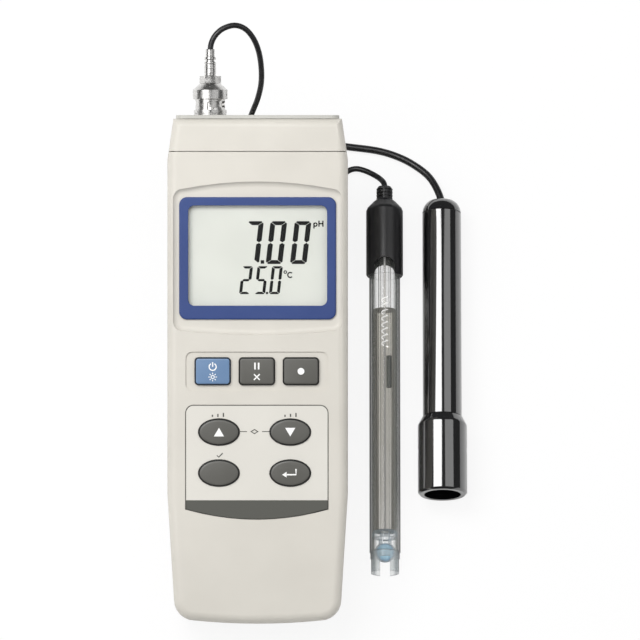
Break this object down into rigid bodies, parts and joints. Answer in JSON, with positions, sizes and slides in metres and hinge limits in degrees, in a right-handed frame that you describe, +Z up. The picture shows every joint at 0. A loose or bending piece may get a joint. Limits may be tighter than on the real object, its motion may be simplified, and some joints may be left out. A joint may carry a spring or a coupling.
{
  "type": "portable multiparameter meter",
  "caption": "Hand-held water meter propped on its tilt stand, with a glass electrode on a bayonet lead and a dip-in conductivity probe beside it.",
  "frame": {"origin": "middle of the footprint of the meter and its two probes, without their leads, on the bench", "axes": "+X to the right of the display, +Y along the case towards its socket end, +Z up from the bench"},
  "size_m": [0.1153, 0.2306, 0.077],
  "materials": {
    "case_plastic": "fine moulded texture",
    "panel_plastic": "fine moulded texture",
    "bezel_plastic": "satin blue",
    "clear_plastic": "clear polished acrylic",
    "lcd": "grey reflective display",
    "white_plastic": "white",
    "elastomer": "silicone rubber",
    "label_film": "printed film",
    "blue_key": "satin",
    "dark_key": "satin",
    "board_laminate": "solder mask",
    "gold_contact": "gold plated",
    "chip_epoxy": "moulded epoxy",
    "steel": "bright",
    "battery_jacket": "plain lacquered jacket",
    "nickel": "nickel plated brass",
    "black_plastic": "satin black",
    "black_gloss": "polished black",
    "black_rubber": "soft jacket",
    "clear_glass": "clear glass",
    "reference_gel": "dark junction",
    "guard_plastic": "clear moulded"
  },
  "bodies": {
    "meter": {"front_case": "case_plastic", "rear_case": "case_plastic", "head_cap": "case_plastic", "socket_panel": "panel_plastic", "display_bezel": "bezel_plastic", "display_lens": "clear_plastic", "lcd_glass": "lcd", "lcd_holder": "white_plastic", "lcd_connectors": "elastomer", "backlight_panel": "white_plastic", "keypad_mat": "elastomer", "key_label": "label_film", "main_board": "board_laminate", "dome_switches": "gold_contact", "board_chips": "chip_epoxy", "board_screws": "steel", "battery": "battery_jacket", "battery_snap": "black_plastic", "battery_cover": "case_plastic", "cover_screw": "steel", "case_screws": "steel", "stand_pin": "steel", "coax_jack": "nickel", "coax_nut": "nickel", "coax_insulator": "white_plastic", "probe_jack": "black_plastic", "coax_plug": "nickel", "crimp_sleeve": "nickel", "electrode_lead_upper": "black_rubber", "electrode_coil": "black_rubber", "electrode_lead_lower": "black_rubber", "electrode_cap": "black_plastic", "electrode_tube": "clear_glass", "inner_tube": "clear_glass", "reference_wire": "steel", "reference_element": "reference_gel", "glass_bulb": "clear_glass", "bulb_guard": "guard_plastic", "probe_lead_upper": "black_rubber", "probe_coil": "black_rubber", "probe_lead_lower": "black_rubber", "probe_plug": "black_plastic", "probe_plug_pin": "gold_contact", "probe_dome": "black_gloss", "probe_tube": "black_gloss", "probe_head": "black_gloss", "probe_electrodes": "steel"},
    "tilt_stand": {"tilt_stand": "panel_plastic", "stand_pads": "black_rubber"},
    "coax_collar": {"coax_collar": "nickel"},
    "power_key": {"power_key": "blue_key"},
    "hold_key": {"hold_key": "dark_key"},
    "record_key": {"record_key": "dark_key"},
    "up_key": {"up_key": "dark_key"},
    "down_key": {"down_key": "dark_key"},
    "set_key": {"set_key": "dark_key"},
    "enter_key": {"enter_key": "dark_key"}
  },
  "joints": [
    {"name": "power_press", "type": "slide", "parent": "meter", "child": "power_key", "axis": [0, 0.2588, -0.9659], "range_m": [0, 0.0008], "stiffness_N_per_m": 300},
    {"name": "hold_press", "type": "slide", "parent": "meter", "child": "hold_key", "axis": [0, 0.2588, -0.9659], "range_m": [0, 0.0008], "stiffness_N_per_m": 300},
    {"name": "record_press", "type": "slide", "parent": "meter", "child": "record_key", "axis": [0, 0.2588, -0.9659], "range_m": [0, 0.0008], "stiffness_N_per_m": 300},
    {"name": "up_press", "type": "slide", "parent": "meter", "child": "up_key", "axis": [0, 0.2588, -0.9659], "range_m": [0, 0.0008], "stiffness_N_per_m": 300},
    {"name": "down_press", "type": "slide", "parent": "meter", "child": "down_key", "axis": [0, 0.2588, -0.9659], "range_m": [0, 0.0008], "stiffness_N_per_m": 300},
    {"name": "set_press", "type": "slide", "parent": "meter", "child": "set_key", "axis": [0, 0.2588, -0.9659], "range_m": [0, 0.0008], "stiffness_N_per_m": 300},
    {"name": "enter_press", "type": "slide", "parent": "meter", "child": "enter_key", "axis": [0, 0.2588, -0.9659], "range_m": [0, 0.0008], "stiffness_N_per_m": 300},
    {"name": "stand_hinge", "type": "hinge", "parent": "meter", "child": "tilt_stand", "pos_m": [-0.02305, 0.02107, 0.03224], "axis": [1, 0, 0], "range_deg": [-100, 0]},
    {"name": "collar_turn", "type": "hinge", "parent": "meter", "child": "coax_collar", "pos_m": [-0.04135, 0.0951, 0.06502], "axis": [0, 0.9659, 0.2588], "range_deg": [0, 90]}
  ]
}
